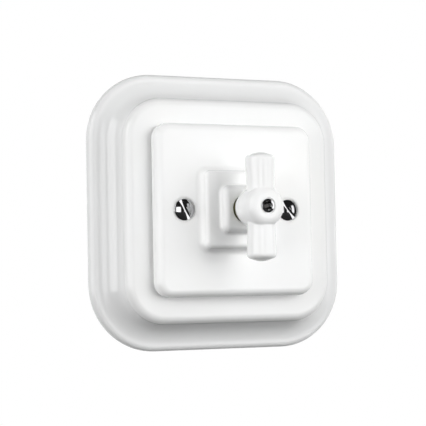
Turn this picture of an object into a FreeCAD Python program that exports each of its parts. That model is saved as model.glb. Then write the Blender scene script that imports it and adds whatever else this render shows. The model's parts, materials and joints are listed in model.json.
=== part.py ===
"""Flush porcelain rotary switch: square surround, cover with pedestal, bar knob and snap mechanism.

The front faces -Y, the wall is the plane Y = 0 and Z points up. The origin is the middle of the two
slots that take the wall box screws. Lengths are millimetres. A "front" size is a height above the
wall, so it lies at Y = -front, and a "depth" size lies behind the wall, at Y = +depth.
"""
import FreeCAD, Part
import math
import os
import Sketcher
from FreeCAD import Placement, Rotation, Vector

DRIVING_SIZES = {
    # Surround frame: a swept section with a rim, a cove and a raised ring, 100 mm square
    "frame_overhang": 14.5,
    "rim_height": 3.3,
    "rim_round": 1.9,
    "cove_radius": 7.8,
    "rim_land": 2.4,
    "ring_front": 13.8,
    "ring_round": 2.2,
    "frame_wall": 3.6,
    "frame_inner_step": 2.4,
    "opening_corner": 2.0,
    # Cover plate with its pedestal, tower and rear lip
    "cover_side": 61.5,
    "cover_corner": 5.5,
    "cover_overlap": 3.25,
    "cover_thickness": 5.7,
    "cover_round": 2.0,
    "cover_wall": 4.0,
    "cover_lip_depth": 3.0,
    "cover_lip_wall": 3.6,
    "cover_lip_gap": 0.3,
    "pedestal_side": 27.4,
    "pedestal_height": 3.7,
    "pedestal_corner": 2.2,
    "pedestal_round": 1.2,
    "pedestal_foot_round": 1.1,
    "tower_side": 17.0,
    "tower_height": 3.3,
    "tower_corner": 2.2,
    "tower_round": 1.8,
    "tower_foot_round": 0.5,
    "cover_boss_diameter": 10.5,
    "cover_boss_gap": 0.6,
    # Cover screws, raised countersunk with a slot
    "cover_screw_spacing": 40.8,
    "cover_screw_diameter": 4.0,
    "cover_screw_head": 7.6,
    "cover_screw_dome": 1.15,
    "cover_screw_length": 15.0,
    "cover_screw_slot": 1.2,
    "cover_screw_slot_depth": 1.1,
    "cover_screw_sink": 0.35,
    "cover_screw_dish": 10.0,
    "left_slot_turn": 26.0,
    "right_slot_turn": 38.0,
    # Knob: a turned barrel with two domed wings
    "knob_length": 15.5,
    "knob_rear_diameter": 9.6,
    "knob_rear_round": 0.8,
    "knob_diameter": 12.7,
    "knob_front_round": 3.7,
    "knob_junction_round": 0.9,
    "wing_span": 37.0,
    "wing_diameter": 10.3,
    "wing_neck_diameter": 9.6,
    "wing_neck_length": 14.0,
    "wing_dome": 1.3,
    "wing_end_round": 1.0,
    "wing_set_back": 5.8,
    "knob_gap": 0.3,
    # Knob screw, raised countersunk with a cross recess
    "knob_screw_diameter": 2.5,
    "knob_screw_head": 4.7,
    "knob_screw_dome": 0.6,
    "knob_screw_length": 9.0,
    "cross_width": 0.7,
    "cross_span": 2.6,
    "cross_depth": 1.1,
    # Brass bush, its nut and the spindle
    "bush_diameter": 10.0,
    "bush_proud": 1.7,
    "bush_flange_diameter": 16.0,
    "bush_flange_thickness": 1.9,
    "bush_nut_flats": 14.0,
    "bush_nut_thickness": 3.0,
    "spindle_diameter": 6.0,
    "spindle_flats": 4.3,
    "spindle_knob_grip": 11.4,
    "journal_diameter": 3.6,
    "journal_proud": 1.7,
    # Mounting strap
    "strap_margin": 2.0,
    "strap_thickness": 1.2,
    "box_screw_spacing": 60.0,
    "box_slot_width": 4.2,
    "box_slot_length": 7.0,
    "pillar_diameter": 6.0,
    "pillar_spigot_diameter": 5.0,
    "pillar_height": 9.6,
    "pillar_clearance": 0.2,
    # Front housing with the index chamber
    "body_flat_cut": 2.6,
    "housing_depth": 9.5,
    "housing_web": 1.6,
    "chamber_length": 30.4,
    "chamber_height": 19.2,
    "chamber_corner": 0.4,
    # Contact base, fired ceramic
    "base_depth": 18.0,
    "rotor_chamber_diameter": 22.0,
    "rotor_chamber_depth": 9.0,
    "assembly_screw_inset": 5.0,
    "assembly_screw_diameter": 3.0,
    "assembly_screw_head": 5.6,
    "assembly_screw_head_height": 2.0,
    # Index cam and leaf springs
    "cam_side": 12.0,
    "cam_corner": 2.5,
    "cam_thickness": 4.4,
    "spring_width": 4.0,
    "spring_thickness": 0.4,
    "spring_flat": 10.0,
    # Rotor and contact bridge
    "rotor_diameter": 18.6,
    "rotor_disc": 4.6,
    "rotor_hub_diameter": 9.2,
    "bridge_thickness": 1.2,
    "bridge_width": 6.0,
    "bridge_span": 20.5,
    "bridge_hub_diameter": 13.4,
    "bridge_peg_diameter": 2.4,
    "bridge_peg_spacing": 15.6,
    "bridge_peg_proud": 0.7,
    # Fixed contacts and terminals, four at 90 degrees
    "terminal_angle": 45.0,
    "contact_gap": 0.25,
    "contact_width": 5.0,
    "contact_thickness": 1.0,
    "terminal_inset": 2.8,
    "clamp_radial": 6.7,
    "clamp_width": 7.0,
    "clamp_depth": 9.0,
    "clamp_corner": 0.5,
    "wire_hole_diameter": 3.4,
    "wire_hole_offset": 2.9,
    "terminal_screw_diameter": 3.0,
    "terminal_screw_head": 4.6,
    "terminal_screw_head_height": 1.9,
    "terminal_screw_reach": 2.0,
    # Retaining clip
    "clip_diameter": 7.0,
    "clip_thickness": 0.6,
    "clip_gap": 0.3,
    "clip_groove_diameter": 2.8,
    # Claws that spread inside the wall box
    "claw_width": 12.0,
    "claw_thickness": 1.2,
    "claw_knuckle_radius": 0.7,
    "claw_gap": 0.4,
    "claw_length": 19.0,
    "claw_foot": 3.2,
    "claw_window": 4.4,
    "claw_window_start": 3.0,
    "claw_tooth_depth": 0.9,
    "claw_tooth_pitch": 2.4,
    "claw_screw_standoff": 3.8,
    "claw_screw_diameter": 3.0,
    "claw_screw_head": 5.2,
    "claw_screw_length": 24.0,
    "claw_nut_side": 6.0,
    "claw_nut_thickness": 2.4,
    # Fits shared by the whole switch
    "fit_gap": 0.05,
    "running_gap": 0.06,
    "hole_gap": 0.2,
    "slot_fraction": 0.25,
}

FULL_TURN = 360
TERMINAL_COUNT = 4
CLAW_TEETH = 5
SAME_LEVEL = 1e-4

doc = FreeCAD.newDocument("RotarySwitch")
sheet = doc.addObject("Spreadsheet::Sheet", "Sizes")


class Size:
    """A length or angle that carries its formula in the sheet's words and its present value."""

    def __init__(self, formula, value):
        self.formula = formula
        self.value = value

    def __add__(self, other):
        other = as_size(other)
        return Size(f"({self.formula} + {other.formula})", self.value + other.value)

    def __sub__(self, other):
        other = as_size(other)
        return Size(f"({self.formula} - {other.formula})", self.value - other.value)

    def __mul__(self, other):
        other = as_size(other)
        return Size(f"({self.formula} * {other.formula})", self.value * other.value)

    def __truediv__(self, other):
        other = as_size(other)
        return Size(f"({self.formula} / {other.formula})", self.value / other.value)

    def __radd__(self, other):
        return as_size(other) + self

    def __rsub__(self, other):
        return as_size(other) - self

    def __rmul__(self, other):
        return as_size(other) * self

    def __neg__(self):
        return Size(f"(0 - {self.formula})", -self.value)


def as_size(number):
    return number if isinstance(number, Size) else Size(repr(number), number)


def root(size):
    return Size(f"sqrt({size.formula})", math.sqrt(size.value))


def leg(hypotenuse, other_leg):
    """The third side of a right triangle, such as half a chord."""
    return root(hypotenuse * hypotenuse - other_leg * other_leg)


class Sheet:
    """The sheet's sizes by name."""


s = Sheet()
for row, (name, number) in enumerate(DRIVING_SIZES.items(), start=1):
    sheet.set(f"A{row}", name.replace("_", " "))
    sheet.set(f"B{row}", str(number))
    sheet.setAlias(f"B{row}", name)
    setattr(s, name, Size(f"Sizes.{name}", number))
doc.recompute()


def bind(thing, path, size):
    """Ties a property or constraint of a document object to the sheet."""
    thing.setExpression(path, as_size(size).formula)


# Helpers for bodies, sketches and features


def new_body(label):
    body = doc.addObject("PartDesign::Body", label)
    body.Label = label
    return body


def place(body, x=0, y=0, z=0, turn=0, about=Vector(0, 1, 0)):
    body.Placement = Placement(Vector(0, 0, 0), Rotation(about, as_size(turn).value))
    for axis, size in (("x", x), ("y", y), ("z", z)):
        bind(body, f"Placement.Base.{axis}", size)
    if isinstance(turn, Size):
        bind(body, "Placement.Rotation.Angle", turn)


def origin_feature(body, role):
    return next(feature for feature in body.Origin.OriginFeatures if feature.Role == role)


def new_sketch(body, name, plane, height=0, across=0, turn=0):
    """A sketch on an origin plane, raised along its normal and shifted along its first axis."""
    sketch = body.newObject("Sketcher::SketchObject", name)
    sketch.AttachmentSupport = [(origin_feature(body, plane), "")]
    sketch.MapMode = "FlatFace"
    sketch.AttachmentOffset = Placement(Vector(0, 0, 0), Rotation(Vector(0, 0, 1), as_size(turn).value))
    bind(sketch, "AttachmentOffset.Base.x", across)
    bind(sketch, "AttachmentOffset.Base.z", height)
    if isinstance(turn, Size):
        bind(sketch, "AttachmentOffset.Rotation.Angle", turn)
    return sketch


def tie(sketch, kind, *where, size):
    """A driving constraint bound to the sheet."""
    index = sketch.addConstraint(Sketcher.Constraint(kind, *where, as_size(size).value))
    if isinstance(size, Size):
        bind(sketch, f"Constraints[{index}]", size)


def tie_point(sketch, geometry, end, x, y):
    """Places a point by its two distances from the sketch's origin."""
    for kind, axis, size in (("DistanceX", -2, x), ("DistanceY", -1, y)):
        if as_size(size).value == 0 and not isinstance(size, Size):
            sketch.addConstraint(Sketcher.Constraint("PointOnObject", geometry, end, axis))
        else:
            tie(sketch, kind, -1, 1, geometry, end, size=size)


def arc_between(start, end, radius):
    """The minor arc; a positive radius turns to the left on the way from start to end."""
    chord = end - start
    middle = (start + end) * 0.5
    left = Vector(-chord.y, chord.x, 0).normalize()
    reach = math.sqrt(max(radius * radius - chord.Length * chord.Length / 4, 0))
    side = 1 if radius > 0 else -1
    centre = middle + left * (reach * side)
    bulge = middle - left * ((abs(radius) - reach) * side)
    return Part.Arc(start, bulge, end), centre


def outline(sketch, points):
    """A closed outline. Each point is (x, y), or (x, y, radius) where an arc runs on to the next."""
    corners = [Vector(as_size(p[0]).value, as_size(p[1]).value, 0) for p in points]
    count = len(points)
    ends = []
    for index, point in enumerate(points):
        start, end = corners[index], corners[(index + 1) % count]
        if len(point) == 3:
            curve, _ = arc_between(start, end, as_size(point[2]).value)
            geometry = sketch.addGeometry(curve, False)
            turns_left = as_size(point[2]).value > 0
            ends.append((geometry, 1, 2) if turns_left else (geometry, 2, 1))
        else:
            geometry = sketch.addGeometry(Part.LineSegment(start, end), False)
            ends.append((geometry, 1, 2))
    for index, (geometry, _, finish) in enumerate(ends):
        following, start, _ = ends[(index + 1) % count]
        sketch.addConstraint(Sketcher.Constraint("Coincident", geometry, finish, following, start))
    for (geometry, start, _), point in zip(ends, points):
        tie_point(sketch, geometry, start, point[0], point[1])
        if len(point) == 3:
            radius = point[2] if as_size(point[2]).value > 0 else -as_size(point[2])
            tie(sketch, "Radius", geometry, size=radius)


def rectangle(sketch, half_x, half_y, corner=None, x=0, y=0):
    low_x, high_x, low_y, high_y = x - half_x, x + half_x, y - half_y, y + half_y
    if corner is None:
        outline(sketch, [(low_x, low_y), (high_x, low_y), (high_x, high_y), (low_x, high_y)])
        return
    outline(sketch, [
        (low_x + corner, low_y), (high_x - corner, low_y, corner),
        (high_x, low_y + corner), (high_x, high_y - corner, corner),
        (high_x - corner, high_y), (low_x + corner, high_y, corner),
        (low_x, high_y - corner), (low_x, low_y + corner, corner)])


def circle(sketch, radius, x=0, y=0):
    centre = Vector(as_size(x).value, as_size(y).value, 0)
    geometry = sketch.addGeometry(Part.Circle(centre, Vector(0, 0, 1), as_size(radius).value), False)
    tie(sketch, "Radius", geometry, size=radius)
    tie_point(sketch, geometry, 3, x, y)


def upright_slot(sketch, half_width, half_length, y):
    """A slot with round ends that runs along the sketch's second axis."""
    straight = half_length - half_width
    radius = half_width.value
    ends = []
    for side in (1, -1):
        middle = y + straight * side
        centre = Vector(0, middle.value, 0)
        across = Vector(radius * side, 0, 0)
        curve = Part.Arc(centre + across, centre + Vector(0, radius * side, 0), centre - across)
        end = sketch.addGeometry(curve, False)
        tie_point(sketch, end, 1, half_width * side, middle)
        tie_point(sketch, end, 2, half_width * -side, middle)
        tie(sketch, "DistanceY", -1, 1, end, 3, size=middle)
        ends.append(end)
    for first, second in (ends, reversed(ends)):
        start, finish = sketch.getPoint(first, 2), sketch.getPoint(second, 1)
        line = sketch.addGeometry(Part.LineSegment(start, finish), False)
        sketch.addConstraint(Sketcher.Constraint("Coincident", first, 2, line, 1))
        sketch.addConstraint(Sketcher.Constraint("Coincident", line, 2, second, 1))


def finish_feature(feature):
    """Rebuilds, and stops where a feature has failed or changed nothing."""
    doc.recompute()
    if any(word in feature.State for word in ("Invalid", "Error")) or feature.Shape.isNull():
        raise RuntimeError(f"{feature.Label} failed")
    base = feature.BaseFeature
    if base is not None and abs(base.Shape.Volume - feature.Shape.Volume) < 1e-6:
        raise RuntimeError(f"{feature.Label} changed nothing")
    return feature


def extrude(body, kind, name, sketch, length, backwards=False, both_ways=False):
    feature = body.newObject(f"PartDesign::{kind}", name)
    feature.Profile = sketch
    feature.SideType = "Symmetric" if both_ways else "One side"
    feature.Reversed = backwards
    bind(feature, "Length", length)
    sketch.Visibility = False
    return finish_feature(feature)


def pad(body, name, sketch, length, **options):
    return extrude(body, "Pad", name, sketch, length, **options)


def pocket(body, name, sketch, length, **options):
    return extrude(body, "Pocket", name, sketch, length, **options)


def turn_profile(body, kind, name, sketch):
    feature = body.newObject(f"PartDesign::{kind}", name)
    feature.Profile = sketch
    feature.ReferenceAxis = (sketch, ["V_Axis"])
    feature.Angle = FULL_TURN
    return finish_feature(feature)


def lathe(body, name, points, **where):
    """A turned solid from (radius, Y) points, on an axis parallel to Y."""
    sketch = new_sketch(body, f"{name}Section", "XY_Plane", **where)
    outline(sketch, points)
    return turn_profile(body, "Revolution", name, sketch)


def bore(body, name, points, **where):
    """A turned cut from (radius, Y) points, on an axis parallel to Y."""
    sketch = new_sketch(body, f"{name}Section", "XY_Plane", **where)
    outline(sketch, points)
    return turn_profile(body, "Groove", name, sketch)


def soften(body, name, base, wanted, radius, kind="Fillet"):
    """Rounds the edges of the base feature that the test picks out."""
    names = [f"Edge{i}" for i, edge in enumerate(base.Shape.Edges, start=1) if wanted(edge)]
    if not names:
        raise RuntimeError(f"{name} finds no edge")
    feature = body.newObject(f"PartDesign::{kind}", name)
    feature.Base = (base, names)
    bind(feature, "Radius" if kind == "Fillet" else "Size", radius)
    return finish_feature(feature)


def on_level(y, reach=None, near=0.0):
    """Picks edges that lie in the plane of that Y, and within or beyond a half-size from the axis."""
    def wanted(edge):
        box = edge.BoundBox
        level = abs(box.YMin - y.value) < SAME_LEVEL and abs(box.YMax - y.value) < SAME_LEVEL
        size = max(abs(box.XMin), abs(box.XMax), abs(box.ZMin), abs(box.ZMax))
        return level and size > near and (reach is None or size < reach)
    return wanted


# Sizes worked out from the driving ones

strap_half = (s.box_screw_spacing + s.box_slot_length) / 2 + s.strap_margin
frame_half = strap_half + s.frame_overhang
ring_half = frame_half - s.rim_land - s.cove_radius
cover_half = s.cover_side / 2
opening_half = cover_half - s.cover_overlap
frame_corner = frame_half - opening_half + s.opening_corner
cover_front = s.ring_front + s.cover_thickness
cover_back = s.ring_front - s.cover_lip_depth
cover_inside = cover_front - s.cover_wall
pedestal_half = s.pedestal_side / 2
pedestal_front = cover_front + s.pedestal_height
tower_half = s.tower_side / 2
tower_front = pedestal_front + s.tower_height
bush_front = tower_front + s.bush_proud
bush_radius = s.bush_diameter / 2
knob_rear = bush_front + s.knob_gap
knob_front = knob_rear + s.knob_length
wing_front = knob_front - s.wing_set_back
spindle_front = knob_rear + s.spindle_knob_grip
spindle_radius = s.spindle_diameter / 2
cover_screw_x = s.cover_screw_spacing / 2
strap_front = s.strap_thickness
strap_corner = strap_half - opening_half + s.opening_corner
pillar_radius = s.pillar_diameter / 2
claw_screw_x = cover_screw_x + pillar_radius + s.claw_screw_head / 2 + s.pillar_clearance
claw_reach = claw_screw_x + s.claw_foot
body_flat = claw_screw_x - s.claw_screw_standoff
body_radius = body_flat + s.body_flat_cut
assembly_screw_z = body_radius - s.assembly_screw_inset
clamp_outer = body_radius - s.terminal_inset
clamp_inner = clamp_outer - s.clamp_radial
wire_hole_radius = clamp_inner + s.wire_hole_offset
base_rear = s.housing_depth + s.base_depth
rotor_chamber_end = s.housing_depth + s.rotor_chamber_depth
cam_depth = s.bush_flange_thickness + s.housing_web + s.hole_gap * 2
cam_rear = cam_depth + s.cam_thickness
rotor_depth = s.housing_depth + s.hole_gap * 2
bridge_depth = rotor_depth + s.rotor_disc
bridge_rear = bridge_depth + s.bridge_thickness
contact_depth = bridge_depth + (s.bridge_thickness - s.contact_thickness) / 2
contact_rear = contact_depth + s.contact_thickness
contact_tip = s.bridge_span / 2 + s.contact_gap
clamp_rear = contact_rear + s.fit_gap + s.clamp_depth
terminal_screw_depth = contact_rear + s.clamp_depth / 2
spindle_square_end = rotor_chamber_end - s.hole_gap
clip_depth = base_rear + s.clip_gap
spindle_end = base_rear + s.journal_proud


def surround_frame():
    """A sweep of one section round the rounded square, open in the middle and hollow behind."""
    body = new_body("surround_frame")
    path = new_sketch(body, "FramePath", "XZ_Plane")
    side = frame_half - frame_corner
    outline(path, [
        (-frame_half, 0), (-frame_half, -side, frame_corner),
        (-side, -frame_half), (side, -frame_half, frame_corner),
        (frame_half, -side), (frame_half, side, frame_corner),
        (side, frame_half), (-side, frame_half, frame_corner),
        (-frame_half, side)])
    cove_x = -(ring_half + s.cove_radius)
    cove_y = -(s.rim_height + s.cove_radius)
    inner_radius = s.cove_radius + s.frame_wall
    ring_under = s.frame_wall - s.ring_front
    inner_end_y = ring_under + s.frame_inner_step
    inner_x = cove_x + leg(inner_radius, inner_end_y - cove_y)
    section = new_sketch(body, "FrameSection", "XY_Plane")
    outline(section, [
        (-frame_half, 0), (-frame_half, s.rim_round - s.rim_height, s.rim_round),
        (s.rim_round - frame_half, -s.rim_height), (cove_x, -s.rim_height, -s.cove_radius),
        (-ring_half, cove_y), (-ring_half, s.ring_round - s.ring_front, s.ring_round),
        (s.ring_round - ring_half, -s.ring_front), (-opening_half, -s.ring_front),
        (-opening_half, ring_under), (inner_x, ring_under), (inner_x, inner_end_y, inner_radius),
        (cove_x + leg(inner_radius, -cove_y), 0)])
    sweep = body.newObject("PartDesign::AdditivePipe", "FrameSweep")
    sweep.Profile = section
    sweep.Spine = path
    finish_feature(sweep)
    return body


def rounded_block(body, name, half, corner, back, front):
    """A square block with rounded corners between two heights above the wall."""
    sketch = new_sketch(body, f"{name}Outline", "XZ_Plane", height=back)
    rectangle(sketch, half, half, corner)
    return pad(body, name, sketch, front - back)


def cover_plate():
    """The cover, its pedestal and tower, hollow behind, with a lip that enters the surround."""
    body = new_body("cover_plate")
    plate = rounded_block(body, "Plate", cover_half, s.cover_corner, s.ring_front, cover_front)
    soften(body, "PlateRound", plate, on_level(-cover_front), s.cover_round)
    rounded_block(body, "Pedestal", pedestal_half, s.pedestal_corner, cover_inside, pedestal_front)
    tower = rounded_block(body, "Tower", tower_half, s.tower_corner, cover_inside, tower_front)
    top = soften(body, "TowerRound", tower, on_level(-tower_front), s.tower_round)
    beside_tower = (tower_half + s.hole_gap).value
    beside_pedestal = (pedestal_half + s.hole_gap).value
    inner_edge = on_level(-pedestal_front, reach=beside_tower)
    outer_edge = on_level(-pedestal_front, near=beside_tower)
    foot = soften(body, "TowerFoot", top, inner_edge, s.tower_foot_round)
    edge = soften(body, "PedestalRound", foot, outer_edge, s.pedestal_round)
    soften(body, "PedestalFoot", edge, on_level(-cover_front, reach=beside_pedestal), s.pedestal_foot_round)
    lip_half = opening_half - s.cover_lip_gap
    lip_inside = lip_half - s.cover_lip_wall
    rounded_block(body, "Lip", lip_half, s.opening_corner, cover_back, s.ring_front + s.cover_lip_gap)
    hollow = new_sketch(body, "HollowOutline", "XZ_Plane", height=cover_back)
    rectangle(hollow, lip_inside, lip_inside, s.cover_wall / 2)
    pocket(body, "Hollow", hollow, cover_inside - cover_back, backwards=True)
    core = new_sketch(body, "CoreOutline", "XZ_Plane", height=cover_inside)
    core_half = pedestal_half - s.cover_wall
    rectangle(core, core_half, core_half, s.cover_wall / 2)
    pocket(body, "Core", core, s.pedestal_height, backwards=True)
    boss_back = cover_back + s.cover_boss_gap
    for side, word in ((-1, "Left"), (1, "Right")):
        boss = new_sketch(body, f"{word}BossOutline", "XZ_Plane", height=boss_back)
        circle(boss, s.cover_boss_diameter / 2, x=cover_screw_x * side)
        pad(body, f"{word}Boss", boss, cover_inside - boss_back + s.cover_lip_gap)
    seat = s.cover_screw_head / 2 + s.running_gap
    hole = s.cover_screw_diameter / 2 + s.hole_gap
    rim = cover_front - s.cover_screw_sink
    over = cover_front + s.cover_wall
    for side, word in ((-1, "Left"), (1, "Right")):
        bore(body, f"{word}ScrewSeat", [
            (0, -over), (0, s.cover_wall - boss_back), (hole, s.cover_wall - boss_back),
            (hole, seat - hole - rim), (seat, -rim), (s.cover_screw_dish / 2, -cover_front),
            (s.cover_screw_dish / 2, -over)], across=cover_screw_x * side)
    spindle_hole = new_sketch(body, "BushHoleOutline", "XZ_Plane", height=tower_front)
    circle(spindle_hole, bush_radius + s.hole_gap)
    pocket(body, "BushHole", spindle_hole, tower_front - cover_inside)
    return body


def knob():
    """A turned barrel crossed by a turned bar, with a square socket and a countersunk screw seat."""
    body = new_body("knob")
    rear_radius = s.knob_rear_diameter / 2
    radius = s.knob_diameter / 2
    shoulder = knob_front - s.knob_front_round
    lathe(body, "Barrel", [
        (0, -knob_front), (0, -knob_rear),
        (rear_radius - s.knob_rear_round, -knob_rear, -s.knob_rear_round),
        (rear_radius, -knob_rear - s.knob_rear_round), (radius, -shoulder, -s.knob_front_round),
        (radius - s.knob_front_round, -knob_front)])
    half_span = s.wing_span / 2
    end_radius = s.wing_diameter / 2
    neck_radius = s.wing_neck_diameter / 2
    neck_half = s.wing_neck_length / 2
    dome_radius = (end_radius * end_radius + s.wing_dome * s.wing_dome) / (s.wing_dome * 2)
    section = new_sketch(body, "WingSection", "XZ_Plane", height=wing_front)
    outline(section, [
        (0, -half_span, dome_radius), (end_radius, s.wing_dome - half_span), (neck_radius, -neck_half),
        (neck_radius, neck_half), (end_radius, half_span - s.wing_dome, dome_radius), (0, half_span)])
    wings = turn_profile(body, "Revolution", "Wings", section)

    def wing_end(edge):
        box = edge.BoundBox
        level = box.ZMax - box.ZMin < SAME_LEVEL
        return level and abs(abs(box.ZMax) - (half_span - s.wing_dome).value) < SAME_LEVEL
    ends = soften(body, "WingEnds", wings, wing_end, s.wing_end_round)

    def junction(edge):
        box = edge.BoundBox
        inside = max(abs(box.ZMax), abs(box.ZMin)) < neck_half.value
        curved = box.ZMax - box.ZMin > s.hole_gap.value
        return inside and curved and box.XMax - box.XMin > neck_radius.value / 2
    soften(body, "Junction", ends, junction, s.knob_junction_round)
    socket = new_sketch(body, "SocketOutline", "XZ_Plane", height=knob_rear)
    grip = s.spindle_flats / 2 + s.running_gap
    rectangle(socket, grip, grip)
    pocket(body, "Socket", socket, s.spindle_knob_grip + s.hole_gap, backwards=True)
    seat = s.knob_screw_head / 2 + s.running_gap
    hole = s.knob_screw_diameter / 2 + s.hole_gap
    bore(body, "ScrewSeat", [
        (0, -knob_front - s.knob_gap), (0, -spindle_front), (hole, -spindle_front),
        (hole, seat - hole - knob_front), (seat, -knob_front), (seat, -knob_front - s.knob_gap)])
    return body


def raised_screw(label, head, dome, shank, length, slot=None, cross=None):
    """A raised countersunk screw along Y: the head's rim lies at Y = 0 and the tip at Y = length."""
    body = new_body(label)
    head_radius = head / 2
    shank_radius = shank / 2
    cone = head_radius - shank_radius
    dome_radius = (head_radius * head_radius + dome * dome) / (dome * 2)
    lathe(body, "Screw", [
        (0, -dome), (0, length), (shank_radius - s.fit_gap * 4, length),
        (shank_radius, length - s.fit_gap * 4), (shank_radius, cone), (head_radius, 0, dome_radius)])
    if slot is not None:
        width, depth, turn = slot
        cut = new_sketch(body, "SlotOutline", "XZ_Plane", height=dome, turn=turn)
        rectangle(cut, width / 2, head)
        pocket(body, "Slot", cut, depth)
    if cross is not None:
        width, span, depth = cross
        for name, half_x, half_y in (
                ("CrossUpright", width / 2, span / 2), ("CrossLevel", span / 2, width / 2)):
            cut = new_sketch(body, f"{name}Outline", "XZ_Plane", height=dome)
            rectangle(cut, half_x, half_y)
            pocket(body, name, cut, depth)
    return body


def slotted_screw(label, head, head_height, shank, length):
    """A cheese head screw along Y: the head stands from Y = 0 to -head_height, the tip is at length."""
    body = new_body(label)
    head_radius = head / 2
    shank_radius = shank / 2
    edge = head_height * s.slot_fraction
    lathe(body, "Screw", [
        (0, -head_height), (0, length), (shank_radius, length), (shank_radius, 0), (head_radius, 0),
        (head_radius, edge - head_height, edge), (head_radius - edge, -head_height)])
    cut = new_sketch(body, "SlotOutline", "XZ_Plane", height=head_height)
    rectangle(cut, head * s.slot_fraction / 2, head)
    pocket(body, "Slot", cut, head_height / 2)
    return body


def cover_screws():
    rim = cover_front - s.cover_screw_sink
    for label, side, turn in (
            ("cover_screw_left", -1, s.left_slot_turn), ("cover_screw_right", 1, s.right_slot_turn)):
        body = raised_screw(label, s.cover_screw_head, s.cover_screw_dome, s.cover_screw_diameter,
                            s.cover_screw_length, slot=(s.cover_screw_slot, s.cover_screw_slot_depth, turn))
        place(body, x=cover_screw_x * side, y=-rim)


def knob_screw():
    body = raised_screw("knob_screw", s.knob_screw_head, s.knob_screw_dome, s.knob_screw_diameter,
                        s.knob_screw_length, cross=(s.cross_width, s.cross_span, s.cross_depth))
    place(body, y=-knob_front)


def spindle_bush():
    """Flanged brass bush: its flange lies between strap and housing, its end shows behind the knob."""
    body = new_body("spindle_bush")
    inside = spindle_radius + s.running_gap
    lathe(body, "Bush", [
        (inside, -bush_front), (inside, s.bush_flange_thickness),
        (s.bush_flange_diameter / 2, s.bush_flange_thickness), (s.bush_flange_diameter / 2, 0),
        (bush_radius, 0), (bush_radius, s.knob_gap - bush_front), (bush_radius - s.knob_gap, -bush_front)])


def hexagon(sketch, across_flats):
    """A regular hexagon with two level sides."""
    half = across_flats / 2
    corner = across_flats / math.sqrt(3)
    outline(sketch, [
        (corner / 2, -half), (corner, 0), (corner / 2, half),
        (-corner / 2, half), (-corner, 0), (-corner / 2, -half)])


def bush_nut():
    body = new_body("bush_nut")
    shape = new_sketch(body, "NutOutline", "XZ_Plane", height=strap_front)
    hexagon(shape, s.bush_nut_flats)
    circle(shape, bush_radius + s.fit_gap)
    pad(body, "Nut", shape, s.bush_nut_thickness)


def spindle():
    """Turned spindle with a square at the knob, a square in the mechanism and a rear journal."""
    body = new_body("spindle")
    journal = s.journal_diameter / 2
    groove = s.clip_groove_diameter / 2
    groove_end = clip_depth + s.clip_thickness
    lathe(body, "Spindle", [
        (0, -spindle_front), (0, spindle_end), (journal, spindle_end), (journal, groove_end),
        (groove, groove_end), (groove, clip_depth), (journal, clip_depth), (journal, spindle_square_end),
        (spindle_radius, spindle_square_end), (spindle_radius, -spindle_front)])
    flat = s.spindle_flats / 2
    for name, height, length in (
            ("KnobSquare", spindle_front, spindle_front - bush_front + s.hole_gap),
            ("DriveSquare", -cam_depth, spindle_square_end - cam_depth)):
        cut = new_sketch(body, f"{name}Outline", "XZ_Plane", height=height)
        circle(cut, spindle_radius + s.hole_gap)
        rectangle(cut, flat, flat)
        pocket(body, name, cut, length)
    tapped = s.knob_screw_diameter / 2 + s.fit_gap
    hole_end = s.knob_screw_length - spindle_front
    bore(body, "TappedHole", [
        (0, -spindle_front), (0, hole_end), (tapped, hole_end), (tapped, -spindle_front)])


def support_strap():
    """Pressed steel strap with slots for the box screws and holes for what it carries."""
    body = new_body("support_strap")
    shape = new_sketch(body, "StrapOutline", "XZ_Plane")
    rectangle(shape, strap_half, strap_half, strap_corner)
    circle(shape, bush_radius + s.fit_gap)
    for side in (-1, 1):
        circle(shape, s.pillar_spigot_diameter / 2 + s.fit_gap, x=cover_screw_x * side)
        circle(shape, s.claw_screw_diameter / 2 + s.hole_gap, x=claw_screw_x * side)
        circle(shape, s.assembly_screw_diameter / 2 + s.fit_gap, y=assembly_screw_z * side)
    pad(body, "Strap", shape, s.strap_thickness)
    slots = new_sketch(body, "BoxSlotOutlines", "XZ_Plane", height=strap_front)
    for side in (-1, 1):
        upright_slot(slots, s.box_slot_width / 2, s.box_slot_length / 2, s.box_screw_spacing / 2 * side)
    pocket(body, "BoxSlots", slots, s.strap_thickness)


def cover_pillars():
    """Tapped posts riveted in the strap, which take the cover screws."""
    spigot = s.pillar_spigot_diameter / 2
    tapped = s.cover_screw_diameter / 2 + s.fit_gap
    for label, side in (("cover_pillar_left", -1), ("cover_pillar_right", 1)):
        body = new_body(label)
        top = strap_front + s.pillar_height
        lathe(body, "Pillar", [
            (tapped, -top), (tapped, -s.fit_gap), (spigot, -s.fit_gap), (spigot, -strap_front),
            (pillar_radius, -strap_front), (pillar_radius, -top)])
        place(body, x=cover_screw_x * side)


def body_outline(sketch):
    """The mechanism's round outline with a flat on each side for the claws."""
    chord = leg(body_radius, body_flat)
    outline(sketch, [
        (body_flat, -chord), (body_flat, chord, body_radius),
        (-body_flat, chord), (-body_flat, -chord, body_radius)])


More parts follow.
